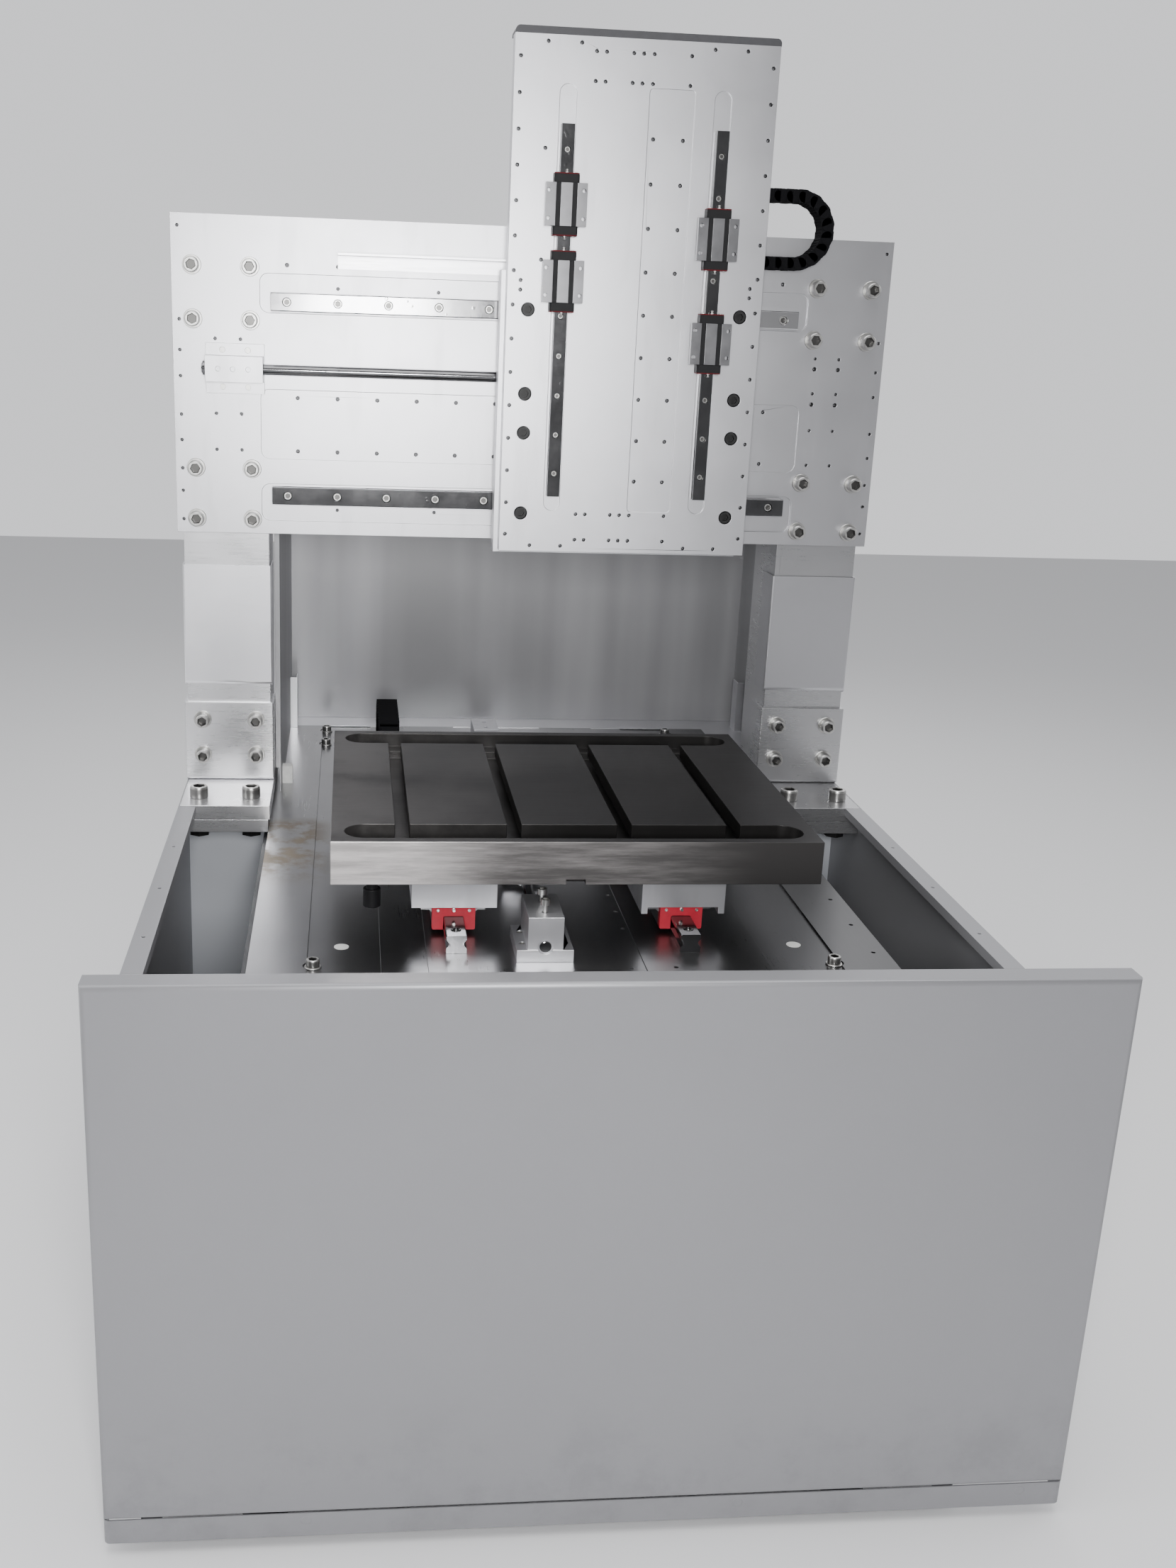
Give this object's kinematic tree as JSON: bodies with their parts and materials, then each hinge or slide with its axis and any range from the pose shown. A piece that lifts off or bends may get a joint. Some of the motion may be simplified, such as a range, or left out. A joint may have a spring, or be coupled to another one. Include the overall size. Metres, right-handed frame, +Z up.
{
  "type": "cnc router",
  "caption": "Moving-table CNC router with a sheet-metal cabinet, fixed gantry, X carriage, Z plate with linear guides and T-slot table.",
  "frame": {"origin": "on the floor at the centre of the footprint", "axes": "+X to the machine's right seen from the front, +Y to the back, +Z up"},
  "size_m": [1.341, 1.466, 2.035],
  "materials": {
    "panel_paint": "silver-grey powder coat with a soft sheen",
    "well_paint": "pale grey-blue paint",
    "guard_paint": "dark grey powder coat",
    "zinc_sheet": "plain zinc-plated sheet",
    "frame_paint": "dark grey frame paint",
    "foot_rubber": "black machine feet",
    "ground_steel": "ground steel, reflective",
    "bright_screw": "nickel-plated cap screws",
    "plug_white": "white plastic",
    "column_steel": "machined steel",
    "black_oxide": "black oxide steel",
    "blasted_aluminium": "bead-blasted aluminium",
    "rail_steel": "hardened polished steel",
    "block_steel": "bearing block steel",
    "block_black": "black end caps on a steel block",
    "cap_red": "red moulded end caps",
    "cast_iron": "machined cast iron",
    "dark_plate": "dark grey plate",
    "chain_black": "black glass-filled nylon"
  },
  "bodies": {
    "machine": {"front_panel": "panel_paint", "plinth_strip": "panel_paint", "side_panel_left": "panel_paint", "side_panel_right": "panel_paint", "lower_rear_panel": "panel_paint", "well_rear_panels": "well_paint", "rear_wall": "guard_paint", "rear_side_wall_left": "guard_paint", "rear_side_wall_right": "guard_paint", "rear_floor_sheet": "zinc_sheet", "column_shrouds": "zinc_sheet", "chain_shelf": "zinc_sheet", "base_frame": "frame_paint", "levelling_feet": "foot_rubber", "base_plate": "ground_steel", "base_plate_screws": "bright_screw", "column_screws": "bright_screw", "beam_screws": "bright_screw", "rail_screws": "bright_screw", "support_screws": "bright_screw", "base_plate_plugs": "plug_white", "column_left": "column_steel", "column_right": "column_steel", "column_brackets": "column_steel", "foot_plates": "column_steel", "foot_nuts": "black_oxide", "beam_plate": "blasted_aluminium", "x_screw_support": "blasted_aluminium", "y_screw_support_front": "blasted_aluminium", "y_screw_support_rear": "blasted_aluminium", "x_rail_upper": "rail_steel", "x_rail_lower": "rail_steel", "y_rail_left": "rail_steel", "y_rail_right": "rail_steel", "x_chain_lower": "chain_black", "y_chain_lower": "chain_black"},
    "x_carriage": {"z_plate": "blasted_aluminium", "saddle_plate": "blasted_aluminium", "z_top_plate": "dark_plate", "x_blocks": "block_steel", "x_ball_nut": "blasted_aluminium", "z_rails": "rail_steel", "z_rail_screws": "bright_screw", "saddle_screws": "black_oxide", "x_chain_upper": "chain_black"},
    "table": {"t_slot_table": "cast_iron", "table_spacers": "blasted_aluminium", "table_bumper": "chain_black", "y_blocks": "block_steel", "y_block_end_caps": "cap_red", "y_ball_nut": "blasted_aluminium", "y_chain_upper": "chain_black"},
    "z_block_left_upper_body": {"z_block_left_upper": "block_black"},
    "z_block_left_lower_body": {"z_block_left_lower": "block_black"},
    "z_block_right_upper_body": {"z_block_right_upper": "block_black"},
    "z_block_right_lower_body": {"z_block_right_lower": "block_black"},
    "x_screw_body": {"x_screw": "rail_steel"},
    "y_screw_body": {"y_screw": "rail_steel"},
    "x_chain_loop_body": {"x_chain_loop": "chain_black"},
    "y_chain_loop_body": {"y_chain_loop": "chain_black"}
  },
  "joints": [
    {"name": "x_slide", "type": "slide", "parent": "machine", "child": "x_carriage", "axis": [1, 0, 0], "range_m": [-0.36, 0.08]},
    {"name": "y_slide", "type": "slide", "parent": "machine", "child": "table", "axis": [0, 1, 0], "range_m": [-0.04, 0.32]},
    {"name": "x_chain_roll", "type": "slide", "parent": "machine", "child": "x_chain_loop_body", "axis": [1, 0, 0], "range_m": [-0.18, 0.04]},
    {"name": "y_chain_roll", "type": "slide", "parent": "machine", "child": "y_chain_loop_body", "axis": [0, 1, 0], "range_m": [-0.02, 0.16]},
    {"name": "x_screw_spin", "type": "hinge", "parent": "machine", "child": "x_screw_body", "pos_m": [-0.5, 0.103, 1.527], "axis": [1, 0, 0], "continuous": true},
    {"name": "y_screw_spin", "type": "hinge", "parent": "machine", "child": "y_screw_body", "pos_m": [-0.086, -0.5, 0.818], "axis": [0, 1, 0], "continuous": true},
    {"name": "z_slide_left_upper", "type": "slide", "parent": "x_carriage", "child": "z_block_left_upper_body", "axis": [0, 0, 1], "range_m": [-0.009, 0.062]},
    {"name": "z_slide_left_lower", "type": "slide", "parent": "x_carriage", "child": "z_block_left_lower_body", "axis": [0, 0, 1], "range_m": [-0.27, 0.008]},
    {"name": "z_slide_right_upper", "type": "slide", "parent": "x_carriage", "child": "z_block_right_upper_body", "axis": [0, 0, 1], "range_m": [-0.028, 0.105]},
    {"name": "z_slide_right_lower", "type": "slide", "parent": "x_carriage", "child": "z_block_right_lower_body", "axis": [0, 0, 1], "range_m": [-0.19, 0.028]}
  ],
  "couplings": [
    {"joint": "x_chain_roll", "follows": "x_slide", "ratio": 0.5},
    {"joint": "y_chain_roll", "follows": "y_slide", "ratio": 0.5},
    {"joint": "x_screw_spin", "follows": "x_slide", "rad_per_m": 628.32},
    {"joint": "y_screw_spin", "follows": "y_slide", "rad_per_m": 628.32}
  ]
}
